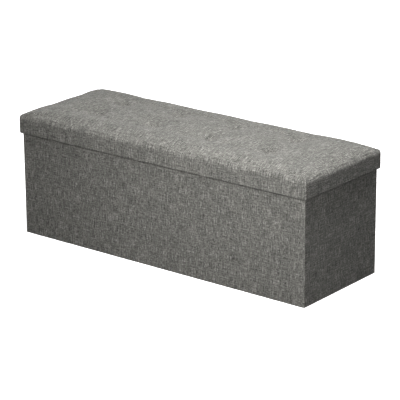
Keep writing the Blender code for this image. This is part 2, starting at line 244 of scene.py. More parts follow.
def lining_material():
    """Black non-woven cloth: pressed dots in a fuzz of fine fibres."""
    g = Graph("nonwoven_lining")
    uv = g.node("ShaderNodeUVMap", uv_map="cloth").outputs[0]
    fibres = g.noise(g.scaled(uv, (900.0, 900.0, 0.0)), detail=4.0, rough=0.7, distortion=1.2)
    cells = g.node("ShaderNodeTexVoronoi", feature="F1")
    g.link(g.scaled(uv, (420.0, 420.0, 0.0)), cells.inputs["Vector"])
    cells.inputs["Scale"].default_value = 1.0
    cells.inputs["Randomness"].default_value = 0.0
    dot = g.math("LESS_THAN", cells.outputs["Distance"], 0.26)
    plain = g.ramp(fibres, ((0.3, (0.012, 0.012, 0.013)), (0.75, (0.040, 0.040, 0.042))))
    colour = g.mix(g.math("MULTIPLY", dot, 0.6), plain, (0.008, 0.008, 0.009, 1.0))
    height = g.math("SUBTRACT", g.math("MULTIPLY", fibres, 0.6), dot)
    normal = g.bump(height, 0.00018, 0.8)
    return g.finish(colour, normal, roughness=0.92, Sheen_Weight=0.10, Specular_IOR_Level=0.2)


def webbing_material():
    """Black ribbed tape."""
    g = Graph("black_tape")
    uv, across, along = cloth_axes(g, 0.0011)
    ribs = yarn_height(g, along)
    fibres = g.noise(g.scaled(uv, (1300.0, 300.0, 0.0)), detail=3.0, rough=0.6)
    colour = g.ramp(fibres, ((0.3, (0.014, 0.014, 0.015)), (0.8, (0.055, 0.055, 0.058))))
    height = g.math("ADD", ribs, g.math("MULTIPLY", fibres, 0.5))
    return g.finish(colour, g.bump(height, 0.00025, 0.8), roughness=0.75, Sheen_Weight=0.10)


def object_axes(graph, scale):
    place = graph.node("ShaderNodeTexCoord").outputs["Object"]
    return graph.scaled(place, scale)


def fibreboard_material():
    """Raw fibreboard: fine speckled fibres over a brown felt."""
    g = Graph("raw_fibreboard")
    fine = g.noise(object_axes(g, (900.0, 900.0, 900.0)), detail=4.0, rough=0.7)
    broad = g.noise(object_axes(g, (14.0, 14.0, 30.0)), detail=3.0)
    fibres = ((0.25, (0.190, 0.120, 0.065)), (0.55, (0.335, 0.232, 0.140)), (0.85, (0.450, 0.335, 0.220)))
    speckle = g.ramp(fine, fibres)
    tone = g.ramp(broad, ((0.3, (0.88, 0.87, 0.86)), (0.7, (1.06, 1.06, 1.06))))
    colour = g.mix(1.0, speckle, tone, "MULTIPLY")
    return g.finish(colour, g.bump(fine, 0.00012, 0.6), roughness=0.78, Specular_IOR_Level=0.3)


def powder_coat_material():
    """Satin black powder coat with its fine orange peel."""
    g = Graph("black_powder_coat")
    peel = g.noise(object_axes(g, (1100.0, 1100.0, 1100.0)), detail=2.0)
    wear = g.noise(object_axes(g, (45.0, 45.0, 12.0)), detail=4.0, rough=0.65)
    colour = g.ramp(wear, ((0.35, (0.016, 0.016, 0.017)), (0.75, (0.032, 0.032, 0.033))))
    roughness = g.math("ADD", g.math("MULTIPLY", wear, 0.18), 0.30)
    return g.finish(colour, g.bump(peel, 0.00008, 0.5), roughness=roughness)


def black_plastic_material():
    g = Graph("black_moulded_plastic")
    grain = g.noise(object_axes(g, (2200.0, 2200.0, 2200.0)), detail=3.0)
    dust = g.noise(object_axes(g, (160.0, 160.0, 160.0)), detail=3.0)
    colour = g.ramp(dust, ((0.35, (0.017, 0.017, 0.018)), (0.75, (0.034, 0.034, 0.035))))
    return g.finish(colour, g.bump(grain, 0.00006, 0.6), roughness=0.52)


def zinc_material():
    g = Graph("zinc_plate")
    spangle = g.noise(object_axes(g, (350.0, 350.0, 350.0)), detail=3.0)
    colour = g.ramp(spangle, ((0.3, (0.46, 0.47, 0.48)), (0.7, (0.66, 0.67, 0.68))))
    return g.finish(colour, g.bump(spangle, 0.00003, 0.4), roughness=0.34, Metallic=1.0)


def foam_material():
    """Open-cell foam: cream, with pinholes darkened by painted shade."""
    g = Graph("open_cell_foam")
    cells = g.node("ShaderNodeTexVoronoi", feature="F1")
    g.link(object_axes(g, (900.0, 900.0, 900.0)), cells.inputs["Vector"])
    cells.inputs["Scale"].default_value = 1.0
    pores = cells.outputs["Distance"]
    # Painted shade: the pinholes are painted darker than the cream foam.
    colour = g.ramp(pores, ((0.15, (0.42, 0.36, 0.22)), (0.5, (0.78, 0.71, 0.52))))
    return g.finish(colour, g.bump(pores, 0.0004, 0.8), roughness=0.95)


def thread_material():
    """Twisted sewing thread in the linen's grey."""
    g = Graph("grey_thread")
    place = object_axes(g, (2400.0, 2400.0, 2400.0))
    twist = g.noise(place, detail=2.0)
    colour = g.ramp(twist, ((0.3, (0.085, 0.083, 0.076)), (0.7, (0.200, 0.196, 0.182))))
    return g.finish(colour, g.bump(twist, 0.0001, 0.8), roughness=0.7, Sheen_Weight=0.2)


LINEN = linen_material()
LINING = lining_material()
WEBBING = webbing_material()
FIBREBOARD = fibreboard_material()
POWDER_COAT = powder_coat_material()
BLACK_PLASTIC = black_plastic_material()
ZINC = zinc_material()
FOAM = foam_material()
THREAD = thread_material()


# Mesh helpers


def new_piece(name, mesh, material, body, replaced=()):
    piece = bpy.data.objects.new(name, mesh)
    bpy.context.scene.collection.objects.link(piece)
    if not mesh.materials:
        mesh.materials.append(material)
    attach(piece, body)
    if replaced:
        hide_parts(*replaced)
    return piece


def mesh_of(name, verts, faces):
    mesh = bpy.data.meshes.new(name)
    mesh.from_pydata(verts, [], faces)
    mesh.update()
    return mesh


def baked(name, bm):
    """Turns a bmesh into a mesh, with its faces turned outwards, and frees it."""
    bmesh.ops.recalc_face_normals(bm, faces=bm.faces)
    mesh = bpy.data.meshes.new(name)
    bm.to_mesh(mesh)
    bm.free()
    return mesh


def band_faces(rows, count):
    """Faces between closed rows of count points each."""
    faces = []
    for row in range(rows - 1):
        low, high = row * count, (row + 1) * count
        for k in range(count):
            n = (k + 1) % count
            faces.append((low + k, low + n, high + n, high + k))
    return faces


def set_uv(mesh, uv_of_face_corner):
    """Writes the flat cloth layout; uv_of_face_corner(polygon, point) gives metres."""
    layer = mesh.uv_layers.new(name="cloth")
    for polygon in mesh.polygons:
        for loop in polygon.loop_indices:
            point = mesh.vertices[mesh.loops[loop].vertex_index].co
            layer.data[loop].uv = uv_of_face_corner(polygon, point)


def flat_layout(polygon, point):
    """Threads run along the row's axes on every face: across and along, seen from outside."""
    normal = polygon.normal
    ax, ay, az = abs(normal.x), abs(normal.y), abs(normal.z)
    if az >= ax and az >= ay:
        return point.x, point.y
    if ay >= ax:
        return point.x, point.z
    return point.y, point.z


def mark_seam_highlight(mesh, values):
    """Where a corner seam's ridge gets a painted highlight, from 0 to 1 at each vertex."""
    attribute = mesh.attributes.new("seam", "FLOAT", "POINT")
    attribute.data.foreach_set("value", values)


def thicken(piece, thickness, offset=-1.0):
    modifier = piece.modifiers.new("Thickness", "SOLIDIFY")
    modifier.thickness = thickness
    modifier.offset = offset
    modifier.use_even_offset = True
    return modifier


def fine_lines(half, corner_steps, pitch):
    """Positions from -half to half: close together near both ends, pitch apart between."""
    inner = half - corner_steps[-1]
    count = max(2, round(2 * inner / pitch))
    middle = [-inner + 2 * inner * i / count for i in range(1, count)]
    left = [-half + step for step in corner_steps]
    return left + middle + [-place for place in reversed(left)]


def extrude_rim(bm, rim, spread, down):
    """Carries a sheet's open edge on by one row, outwards by spread and down; gives the new edge."""
    made = bmesh.ops.extrude_edge_only(bm, edges=rim)["geom"]
    verts = {item for item in made if isinstance(item, bmesh.types.BMVert)}
    reach_x, reach_y = max(v.co.x for v in verts), max(v.co.y for v in verts)
    for vert in verts:
        vert.co.x *= 1 + spread / reach_x
        vert.co.y *= 1 + spread / reach_y
        vert.co.z -= down
    return [edge for edge in bm.edges if edge.verts[0] in verts and edge.verts[1] in verts]


def rounded(x, y, half_x, half_y, radius):
    """Moves a point of a rectangle onto the same rectangle with round corners."""
    dx, dy = abs(x) - (half_x - radius), abs(y) - (half_y - radius)
    if dx <= 0 or dy <= 0:
        return x, y
    shrink = max(dx, dy) / hypot(dx, dy)
    sx, sy = (1 if x > 0 else -1), (1 if y > 0 else -1)
    return sx * (half_x - radius + dx * shrink), sy * (half_y - radius + dy * shrink)


# The seat: foam, cover and buttons

SEAT_X, SEAT_Y = SEAT_HIGH.x, SEAT_HIGH.y
SKIRT_Z = SEAT_LOW.z
CROWN_Z = SEAT_HIGH.z - 0.0055  # the pad's middle before the simulation swells it
EDGE_Z = SKIRT_Z + 0.0605
EDGE_R = 0.0048
EDGE_WAVE = 0.0026  # how far the upper edge dips beside each tuft
CROWN_REACH = 0.1900  # from the edge to where the crown is full
TUFT_FLAT_R = 0.0110
TUFT_WALL = 0.0340  # reach of a dimple's steep part
TUFT_REACH = 0.0780  # reach of the whole dimple
TUFT_GRIP = 0.0340  # how far from a button its hold on the cover fades out
CORNER_STEPS = (0.0, 0.0011, 0.0022, 0.0040, 0.0065, 0.0100, 0.0145, 0.0200, 0.0260)
SEAT_PITCH = 0.0062
SEAT_COVER_T = 0.0012
TURN_UNDER = 0.0070  # how far the skirt's lower edge turns in under its rail


def crown(distance):
    reach = min(max(distance, 0.0) / CROWN_REACH, 1.0)
    return 1.0 - (1.0 - reach) ** 2


def crowned_height(x, y):
    """Foam under a tight cover, before the tufts are drawn down: its edges dip beside each row of tufts."""
    off_x, off_y = SEAT_X - EDGE_R - abs(x), SEAT_Y - EDGE_R - abs(y)
    near_x, near_y = (max(0.0, 1.0 - off / 0.075) for off in (off_x, off_y))
    wave = near_y * cos(2 * pi * x / (TUFTS[1].x - TUFTS[0].x)) * min(1.0, off_x / 0.05)
    wave += 0.6 * near_x * cos(pi * y / TUFTS[4].y) * min(1.0, off_y / 0.05)
    return EDGE_Z + (CROWN_Z - EDGE_Z) * crown(off_x) * crown(off_y) + EDGE_WAVE * wave


def tuft_pull(x, y):
    """How far the tufts draw the cover down: 1 at a button and 0 away from it."""
    nearest = min(hypot(x - tuft.x, y - tuft.y) for tuft in TUFTS)
    pull = 0.0
    for share, reach in ((0.55, TUFT_WALL), (0.45, TUFT_REACH)):
        along = min(max((nearest - TUFT_FLAT_R) / (reach - TUFT_FLAT_R), 0.0), 1.0)
        pull += share * (1.0 - along) ** 2
    return pull


def seam_ridge(distance):
    """A corner seam's cross-section: the seam stands up, with a slight groove beside it."""
    ridge = 0.0007 * max(0.0, 1.0 - distance / 0.0026)
    groove = 0.0003 * max(0.0, 1.0 - abs(distance - 0.0045) / 0.0024)
    return ridge - groove


def seat_rings():
    """(outward, down) steps of the cover below its top: round the edge, down the skirt, under its rail."""
    turns = 5
    rings = []
    for i in range(1, turns + 1):
        angle = pi / 2 * i / turns
        rings.append((EDGE_R * sin(angle), EDGE_R * (1 - cos(angle))))
    fold = 0.0016
    drop = EDGE_Z - EDGE_R - SKIRT_Z - fold
    steps = 8
    rings += [(EDGE_R, EDGE_R + drop * i / steps) for i in range(1, steps + 1)]
    bottom = EDGE_Z - SKIRT_Z
    rings.append((EDGE_R - fold * 0.3, bottom - fold * 0.3))
    rings += [(EDGE_R - fold, bottom), (EDGE_R - TURN_UNDER, bottom)]
    return rings


def seat_surface():
    """The cover's outer face: points before and after tufting, faces, each face's side, each point's painted
    seam highlight.
    """
    half_x, half_y = SEAT_X - EDGE_R, SEAT_Y - EDGE_R
    xs = fine_lines(half_x, CORNER_STEPS, SEAT_PITCH)
    ys = fine_lines(half_y, CORNER_STEPS, SEAT_PITCH)
    points, faces, sides = [], [], []
    for y in ys:
        for x in xs:
            px, py = rounded(x, y, half_x, half_y, 0.005)
            points.append((px, py, crowned_height(px, py)))
    seam_highlights = [0.0] * len(points)
    nx, ny = len(xs), len(ys)
    for j in range(ny - 1):
        for i in range(nx - 1):
            a = j * nx + i
            faces.append((a, a + 1, a + 1 + nx, a + nx))
            sides.append("top")
    rim = [(i, 0) for i in range(nx)] + [(nx - 1, j) for j in range(1, ny)]
    rim += [(i, ny - 1) for i in range(nx - 2, -1, -1)] + [(0, j) for j in range(ny - 2, 0, -1)]
    previous = [j * nx + i for i, j in rim]
    for outward, down in seat_rings():
        current = []
        for i, j in rim:
            x = xs[i] + (outward if i == nx - 1 else -outward if i == 0 else 0.0)
            y = ys[j] + (outward if j == ny - 1 else -outward if j == 0 else 0.0)
            on_skirt = min(down / EDGE_R, 1.0)
            px, py = rounded(x, y, half_x + outward, half_y + outward, 0.005 - 0.002 * on_skirt)
            seam = (half_x + outward - abs(x)) + (half_y + outward - abs(y))
            ridge = on_skirt * seam_ridge(seam)
            height = points[j * nx + i][2] * (1 - on_skirt) + EDGE_Z * on_skirt
            current.append(len(points))
            # Painted highlight along the corner seam's ridge on the skirt.
            seam_highlights.append(on_skirt * max(0.0, 1.0 - seam / 0.0030))
            px, py = px + (ridge if px > 0 else -ridge), py + (ridge if py > 0 else -ridge)
            points.append((px, py, height - down))
        for k in range(len(rim)):
            n = (k + 1) % len(rim)
            faces.append((previous[k], current[k], current[n], previous[n]))
            (i0, j0), (i1, j1) = rim[k], rim[n]
            sides.append("front_back" if j0 == j1 and j0 in (0, ny - 1) else "end")
        previous = current
    plain = np.array(points)
    pull = np.array([tuft_pull(x, y) for x, y, z in points])
    on_top = plain[:, 2] > EDGE_Z - 0.0030
    tufted = plain.copy()
    tufted[:, 2] -= np.where(on_top, pull * (plain[:, 2] - TUFT_Z), 0.0)
    return plain, tufted, faces, sides, seam_highlights


def seat_layout(sides):
    """The cover's flat cloth layout: the skirt's threads carry on from the top's."""

    def uv(polygon, point):
        side = sides[polygon.index]
        if side == "top":
            return point.x, point.y
        fall = EDGE_Z - point.z
        if side == "front_back":
            return point.x, point.y + (fall if point.y > 0 else -fall)
        return point.x + (fall if point.x > 0 else -fall), point.y

    return uv


SIM_FRAMES = 16
SIM_CAP = 0.0090  # the farthest that the simulation may move any point


def drape(piece, plain):
    """Cloth simulation of the tight cover over its foam: the foam pushes up and the buttons hold it down."""
    count = len(piece.data.vertices)
    start = np.zeros(count * 3)
    piece.data.vertices.foreach_get("co", start)
    start = start.reshape(-1, 3)
    piece.shape_key_add(name="Basis")
    rest = piece.shape_key_add(name="plain")
    rest.data.foreach_set("co", plain.ravel())
    held = piece.vertex_groups.new(name="held")
    near = [min(hypot(p[0] - tuft.x, p[1] - tuft.y) for tuft in TUFTS) for p in start]
    for i, p in enumerate(start):
        on_skirt = p[2] < EDGE_Z - EDGE_R - 0.0010
        grip = 1.0 if on_skirt else min(1.0, 1.0 - (near[i] - TUFT_FLAT_R) / TUFT_GRIP)
        if grip > 0.0:
            held.add([i], grip, "REPLACE")
    cloth = piece.modifiers.new("Cloth", "CLOTH")
    settings = cloth.settings
    settings.quality = 6
    settings.mass = 0.25
    settings.air_damping = 4.0
    settings.tension_stiffness = 60.0
    settings.compression_stiffness = 30.0
    settings.shear_stiffness = 12.0
    settings.bending_stiffness = 0.35
    settings.tension_damping = 20.0
    settings.shear_damping = 10.0
    settings.vertex_group_mass = "held"
    settings.pin_stiffness = 1.0
    settings.rest_shape_key = rest
    settings.use_pressure = True
    settings.uniform_pressure_force = 4.0
    settings.effector_weights.gravity = 0.0
    cloth.collision_settings.use_collision = False
    cloth.point_cache.frame_start = 1
    cloth.point_cache.frame_end = SIM_FRAMES
    scene = bpy.context.scene
    for number in range(1, SIM_FRAMES + 1):
        scene.frame_set(number)
    moved = piece.evaluated_get(bpy.context.evaluated_depsgraph_get()).to_mesh()
    final = np.zeros(count * 3)
    moved.vertices.foreach_get("co", final)
    final = final.reshape(-1, 3)
    piece.modifiers.remove(cloth)
    piece.shape_key_clear()
    scene.frame_set(1)
    step = final - start
    length = np.linalg.norm(step, axis=1)
    step *= (np.minimum(length, SIM_CAP) / np.maximum(length, 1e-9))[:, None]
    piece.data.vertices.foreach_set("co", (start + step).ravel())
    piece.data.update()


def seat_cover():
    plain, tufted, faces, sides, seam_highlights = seat_surface()
    mesh = mesh_of("seat_cover_fabric", tufted.tolist(), faces)
    set_uv(mesh, seat_layout(sides))
    mark_seam_highlight(mesh, seam_highlights)
    mesh.shade_smooth()
    piece = new_piece("seat_cover_fabric", mesh, LINEN, "lid", ["seat_cover"])
    drape(piece, plain)
    return piece


CREASES = 8
CREASE_DEPTH = 0.0020


def crease(x, y):
    """Depth of the folds that run out from each tuft, with a broken, uneven rhythm."""
    depth = 0.0
    for number, tuft in enumerate(TUFTS):
        dx, dy = x - tuft.x, y - tuft.y
        distance = hypot(dx, dy)
        if BUTTON_R * 0.8 < distance < 0.055:
            turn = atan2(dy, dx)
            uneven = noise.noise(Vector((cos(turn) * 1.6, sin(turn) * 1.6, number * 3.7)))
            fold = max(0.0, cos(CREASES * (turn + 0.35 * uneven + number)))
            length = 0.030 + 0.022 * uneven
            fade = max(0.0, 1.0 - (distance - BUTTON_R * 0.8) / length)
            depth += CREASE_DEPTH * fold**3 * fade * (0.7 + 0.6 * uneven)
    return depth


def finish_seat_cover(piece):
    """Refines the draped cover, creases it round its tufts and thickens it."""
    finer = piece.modifiers.new("Finer", "SUBSURF")
    finer.levels = finer.render_levels = 1
    finer.boundary_smooth = "PRESERVE_CORNERS"
    mesh = bpy.data.meshes.new_from_object(piece.evaluated_get(bpy.context.evaluated_depsgraph_get()))
    piece.modifiers.remove(finer)
    piece.data = mesh
    mesh.name = "seat_cover_fabric"
    for vert in mesh.vertices:
        if vert.co.z > TUFT_Z - 0.001:
            ripple = noise.noise(Vector((vert.co.x * 26.0, vert.co.y * 26.0, 1.5))) * 0.00025
            vert.co.z += ripple - crease(vert.co.x, vert.co.y)
    mesh.update()
    thicken(piece, SEAT_COVER_T * 0.8)


# The box's cover: four panels sewn at the corners


def panel_ring(half_x, half_y, radius, corner_steps, pitch):
    """Points round a rectangle with round corners, each with its distance from the nearest corner seam."""
    xs = fine_lines(half_x, corner_steps, pitch)
    ys = fine_lines(half_y, corner_steps, pitch)
    ring = [(x, -half_y, "front_back") for x in xs[:-1]] + [(half_x, y, "end") for y in ys[:-1]]
    ring += [(x, half_y, "front_back") for x in reversed(xs[1:])]
    ring += [(-half_x, y, "end") for y in reversed(ys[1:])]
    made = []
    for x, y, side in ring:
        seam = (half_x - abs(x)) + (half_y - abs(y))
        px, py = rounded(x, y, half_x, half_y, radius)
        made.append((px, py, side, seam))
    return made


END_PANEL_SHIFT = 2.0  # moves the end panels to another part of the cloth's pattern


def sleeve(name, ring, heights, bulge):
    """A tube of cloth through the ring at each height; bulge(x, y, z, seam) moves a point outwards."""
    verts = []
    for z in heights:
        for x, y, side, seam in ring:
            out = bulge(x, y, z, seam)
            nx, ny = (0.0, 1 if y > 0 else -1) if side == "front_back" else (1 if x > 0 else -1, 0.0)
            verts.append((x + nx * out, y + ny * out, z))
    count = len(ring)
    mesh = mesh_of(name, verts, band_faces(len(heights), count))

    def uv(polygon, point):
        side = ring[polygon.index % count][2]
        return (point.x if side == "front_back" else point.y + END_PANEL_SHIFT, point.z)

    set_uv(mesh, uv)
    mesh.shade_smooth()
    return mesh


def even_heights(low, high, pitch):
    count = max(1, round((high - low) / pitch))
    return [low + (high - low) * i / count for i in range(count + 1)]


def box_cover():
    ring = panel_ring(BOX_HIGH.x, BOX_HIGH.y, 0.0030, CORNER_STEPS, 0.0080)

    def bulge(x, y, z, seam):
        ripple = noise.noise(Vector((x * 7.0, y * 7.0, z * 9.0))) * 0.0005
        loose = min(1.0, seam / 0.03) * min(1.0, (z - BASE_LOW.z) / 0.03)
        fold = 0.0
        if abs(x) > BOX_HIGH.x - 0.002:
            fold = 0.0005 * max(0.0, 1.0 - abs(y) / 0.006)
        return min(0.0, ripple - 0.0003) * loose + seam_ridge(seam) - fold

    low, fold = BASE_LOW.z + 0.0002, 0.0010
    heights = [low, low + fold] + even_heights(low + 0.004, COVER_HIGH.z, 0.0100)
    mesh = sleeve("box_cover_fabric", ring, heights, bulge)
    # Painted highlight along the ridges of the box cover's corner seams.
    box_seam_highlights = [max(0.0, 1.0 - seam / 0.0030) for x, y, side, seam in ring]
    mark_seam_highlight(mesh, box_seam_highlights * len(heights))
    covers = ["front_cover", "back_cover", "left_end_cover", "right_end_cover"]
    piece = new_piece("box_cover_fabric", mesh, LINEN, "box", covers)
    thicken(piece, LINEN_T)


def stitches(name, runs, length, pitch=0.0040, radius=0.00035):
    """A row of sewn stitches along each run of (start, end, outward): capsules that rise off the cloth."""
    bm = bmesh.new()
    for start, end, outward in runs:
        start, end, outward = Vector(start), Vector(end), Vector(outward)
        along = (end - start).normalized()
        count = int((end - start).length / pitch)
        side = along.cross(outward)
        for i in range(count):
            middle = start + along * (pitch * (i + 0.5))
            rings = []
            for reach, thick, rise in ((-0.5, 0.4, 0.2), (-0.3, 1.0, 0.9), (0.3, 1.0, 0.9), (0.5, 0.4, 0.2)):
                centre = middle + along * (reach * length) + outward * (radius * rise)
                ring = [
                    bm.verts.new(centre + (side * cos(turn) + outward * sin(turn)) * (radius * thick))
                    for turn in (k * pi / 3 for k in range(6))
                ]
                rings.append(ring)
            for first, second in zip(rings, rings[1:]):
                for k in range(6):
                    bm.faces.new((first[k], first[(k + 1) % 6], second[(k + 1) % 6], second[k]))
            bm.faces.new(rings[0])
            bm.faces.new(rings[-1])
    mesh = baked(name, bm)
    mesh.shade_smooth()
    return mesh


def seat_foam(cover):
    """The foam pad: the draped cover's shape moved in by the cover's thickness, closed underneath."""
    bm = bmesh.new()
    bm.from_mesh(cover.data)
    bm.normal_update()
    for vert in bm.verts:
        vert.co -= vert.normal * (SEAT_COVER_T + CREASE_DEPTH + GAP)
    low = FOAM_LOW.z + 0.0005
    gone = [face for face in bm.faces if min(vert.co.z for vert in face.verts) < low]
    bmesh.ops.delete(bm, geom=gone, context="FACES")
    loose = [vert for vert in bm.verts if not vert.link_faces]
    bmesh.ops.delete(bm, geom=loose, context="VERTS")
    rim = extrude_rim(bm, [edge for edge in bm.edges if edge.is_boundary], 0.0, 0.0)
    for edge in rim:
        for vert in edge.verts:
            vert.co.z = FOAM_LOW.z
    bmesh.ops.contextual_create(bm, geom=rim)
    mesh = baked("seat_foam_pad", bm)
    mesh.materials.clear()
    mesh.shade_smooth()
    piece = new_piece("seat_foam_pad", mesh, FOAM, "lid", ["seat_foam"])


def covered_button():
    """A metal button wrapped in the seat's linen, with the gathers of the wrap round its edge."""
    height = BUTTONS[0][1].z - BUTTONS[0][0].z
    profile = ((0.00, 1.00), (0.22, 0.985), (0.45, 0.93), (0.66, 0.83), (0.83, 0.66), (0.94, 0.45))
    profile += ((1.00, 0.22), (0.97, 0.06), (0.86, -0.02))
    around, gathers = 64, 16
    verts, faces = [(0.0, 0.0, height)], []
    for share, rise in profile[1:]:
        for k in range(around):
            turn = 2 * pi * k / around
            pleat = 0.00022 * cos(gathers * turn) * share**4
            reach = BUTTON_R * share - pleat
            verts.append((reach * cos(turn), reach * sin(turn), height * rise - pleat))
    for k in range(around):
        faces.append((0, 1 + k, 1 + (k + 1) % around))
    for ring in range(len(profile) - 2):
        first, second = 1 + ring * around, 1 + (ring + 1) * around
        for k in range(around):
            n = (k + 1) % around
            faces.append((first + k, second + k, second + n, first + n))
    faces.append(tuple(1 + (len(profile) - 2) * around + k for k in reversed(range(around))))
    mesh = mesh_of("covered_button", verts, faces)
    set_uv(mesh, lambda polygon, point: (point.x * 1.05, point.y * 1.05))
    mesh.materials.append(LINEN)
    mesh.shade_smooth()
    return mesh


def covered_buttons():
    mesh = covered_button()
    for number, (low, high) in enumerate(BUTTONS, start=1):
        name = f"covered_button_{number}"
        piece = bpy.data.objects.new(name, mesh)
        bpy.context.scene.collection.objects.link(piece)
        piece.location = ((low.x + high.x) / 2, (low.y + high.y) / 2, low.z)
        piece.rotation_euler.z = radians(7.0 * ((number * 5) % 8) - 24.0)
        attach(piece, "lid")
        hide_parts(f"tuft_button_{number}")


# Inside the box: lining, rim tape and base cloth


def inner_sleeve():
    """Non-woven lining round the inside of the walls, a little loose between its corners."""
    half_x, half_y = END_LINING_HIGH.x - LINING_T, -LINING_HIGH.y
    ring = panel_ring(half_x, half_y, 0.0050, CORNER_STEPS, 0.0120)

    def bulge(x, y, z, seam):
        loose = noise.noise(Vector((x * 5.0, y * 5.0, z * 4.0))) * 0.5 + 0.5
        fine = noise.noise(Vector((x * 22.0 + 7.0, y * 22.0, z * 9.0)))
        level = min((z - LINING_LOW.z) / 0.02, 1.0) * min((LINING_HIGH.z - z) / 0.02, 1.0)
        return (-0.0005 * loose + 0.00025 * fine) * max(min(seam / 0.03, 1.0) * level, 0.0)

    mesh = sleeve("box_lining_cloth", ring, even_heights(LINING_LOW.z, LINING_HIGH.z, 0.0120), bulge)
    linings = ["front_lining", "back_lining", "left_end_lining", "right_end_lining"]
    piece = new_piece("box_lining_cloth", mesh, LINING, "box", linings)
    thicken(piece, NONWOVEN_T, offset=1.0)


def swept_loop(name, half_x, half_y, profile, pitch):
    """A closed loop of cloth round a rectangle; profile gives (inset, z) of each line across the cloth."""
    ring = panel_ring(half_x, half_y, 0.0030, CORNER_STEPS, pitch)
    count = len(ring)
    verts, run = [], [0.0]
    for inset, z in profile:
        across_x, across_y = 1 - inset / half_x, 1 - inset / half_y
        verts += [(x * across_x, y * across_y, z) for x, y, side, seam in ring]
    for (inset_0, z_0), (inset_1, z_1) in zip(profile, profile[1:]):
        run.append(run[-1] + hypot(inset_1 - inset_0, z_1 - z_0))
    mesh = mesh_of(name, verts, band_faces(len(profile), count))
    layer = mesh.uv_layers.new(name="cloth")
    for polygon in mesh.polygons:
        side = ring[polygon.index % count][2]
        for loop in polygon.loop_indices:
            vertex = mesh.loops[loop].vertex_index
            x, y = ring[vertex % count][:2]
            layer.data[loop].uv = (x if side == "front_back" else y + END_PANEL_SHIFT, run[vertex // count])
    mesh.shade_smooth()
    return mesh


def rim_tape():
    """Tape folded over the walls' upper edge, with a row of stitches near both of its edges."""
    low, top = BOX_LOW.z, BOX_HIGH.z
    out_x, out_y = BOX_HIGH.x, BOX_HIGH.y
    width = out_y + LINING_HIGH.y
    soft = 0.0018
    steps = [(0.0, low), (0.0, top - soft), (soft * 0.3, top - soft * 0.3), (soft, top)]
    steps += [(width - soft, top), (width - soft * 0.3, top - soft * 0.3), (width, top - soft), (width, low)]
    mesh = swept_loop("rim_tape", out_x, out_y, steps, 0.0120)
    piece = new_piece("rim_tape", mesh, WEBBING, "box", ["rim_binding"])
    thicken(piece, 0.0007)
    z = low + 0.0022
    inner_x, inner_y = out_x - width, out_y - width
    margin = 0.006
    runs = []
    for x, y, out in ((out_x, out_y, 1), (inner_x, inner_y, -1)):
        runs.append(((margin - x, -y, z), (x - margin, -y, z), (0, -out, 0)))
        runs.append(((margin - x, y, z), (x - margin, y, z), (0, out, 0)))
        runs.append(((-x, margin - y, z), (-x, y - margin, z), (-out, 0, 0)))
        runs.append(((x, margin - y, z), (x, y - margin, z), (out, 0, 0)))
    new_piece("rim_stitches", stitches("rim_stitches", runs, 0.0028), THREAD, "box")


def cloth_grid(name, low, high, pitch, height):
    """A flat rectangle of cloth between two corners, with height(x, y, edge) as its surface."""
    nx = max(4, round((high.x - low.x) / pitch))
    ny = max(4, round((high.y - low.y) / pitch))
    verts, faces = [], []
    for j in range(ny + 1):
        for i in range(nx + 1):
            x = low.x + (high.x - low.x) * i / nx
            y = low.y + (high.y - low.y) * j / ny
            edge = min(x - low.x, high.x - x, y - low.y, high.y - y)
            verts.append((x, y, height(x, y, edge)))
    for j in range(ny):
        for i in range(nx):
            a = j * (nx + 1) + i
            faces.append((a, a + 1, a + nx + 2, a + nx + 1))
    mesh = mesh_of(name, verts, faces)
    set_uv(mesh, flat_layout)
    mesh.shade_smooth()
    return mesh


def cloth_pan(name, half_x, half_y, corner_steps, pitch, height, steps):
    """A cloth with fallen sides: height(x, y) over a rectangle, then one row per (spread, down) step."""
    bm = bmesh.new()
    xs = fine_lines(half_x, corner_steps, pitch)
    ys = fine_lines(half_y, corner_steps, pitch)
    rows = [[bm.verts.new((x, y, height(x, y))) for x in xs] for y in ys]
    for first, second in zip(rows, rows[1:]):
        for i in range(len(xs) - 1):
            bm.faces.new((first[i], first[i + 1], second[i + 1], second[i]))
    rim = [edge for edge in bm.edges if edge.is_boundary]
    for spread, down in steps:
        rim = extrude_rim(bm, rim, spread, down)
    mesh = baked(name, bm)
    set_uv(mesh, flat_layout)
    mesh.shade_smooth()
    return mesh


def base_sheet():
    """The cloth under the box, with a hem."""
    top = BASE_HIGH.z

    def height(x, y, edge):
        hem = 0.0002 * (1 if edge < 0.012 else 0)
        return top - 0.0004 + hem + 0.0001 * noise.noise(Vector((x * 9.0, y * 9.0, 0.0)))

    inset = Vector((0.0018, 0.0018, 0.0))
    mesh = cloth_grid("base_sheet", BASE_LOW + inset, BASE_HIGH - inset, 0.0120, height)
    piece = new_piece("base_sheet", mesh, LINING, "box", ["base_cloth"])
    thicken(piece, 0.0008)


# The floor panel


def floor_wrap():
    """Non-woven cloth wrapped over the floor board and turned under it, with soft edges."""
    low, high = PANEL_LOW, PANEL_HIGH
    soft = 0.0022

    def height(x, y):
        edge = min(high.x - abs(x), high.y - abs(y))
        swell = noise.noise(Vector((x * 6.0, y * 6.0, 3.0))) * 0.00035 * min(edge / 0.03, 1.0)
        return high.z - 0.0003 + swell

    steps = ((soft * 0.7, soft * 0.3), (soft * 0.3, soft * 0.7), (0.0, high.z - low.z - 2 * soft))
    steps += ((-soft * 0.3, soft * 0.7), (-soft * 0.7, soft * 0.3), (-0.018, 0.0))
    corner_steps = (0.0, 0.006, 0.014, 0.024)
    half_x, half_y = high.x - soft, high.y - soft
    mesh = cloth_pan("floor_panel_wrap", half_x, half_y, corner_steps, 0.0140, height, steps)
    piece = new_piece("floor_panel_wrap", mesh, LINING, "floor_panel", ["floor_cover"])
    thicken(piece, NONWOVEN_T)


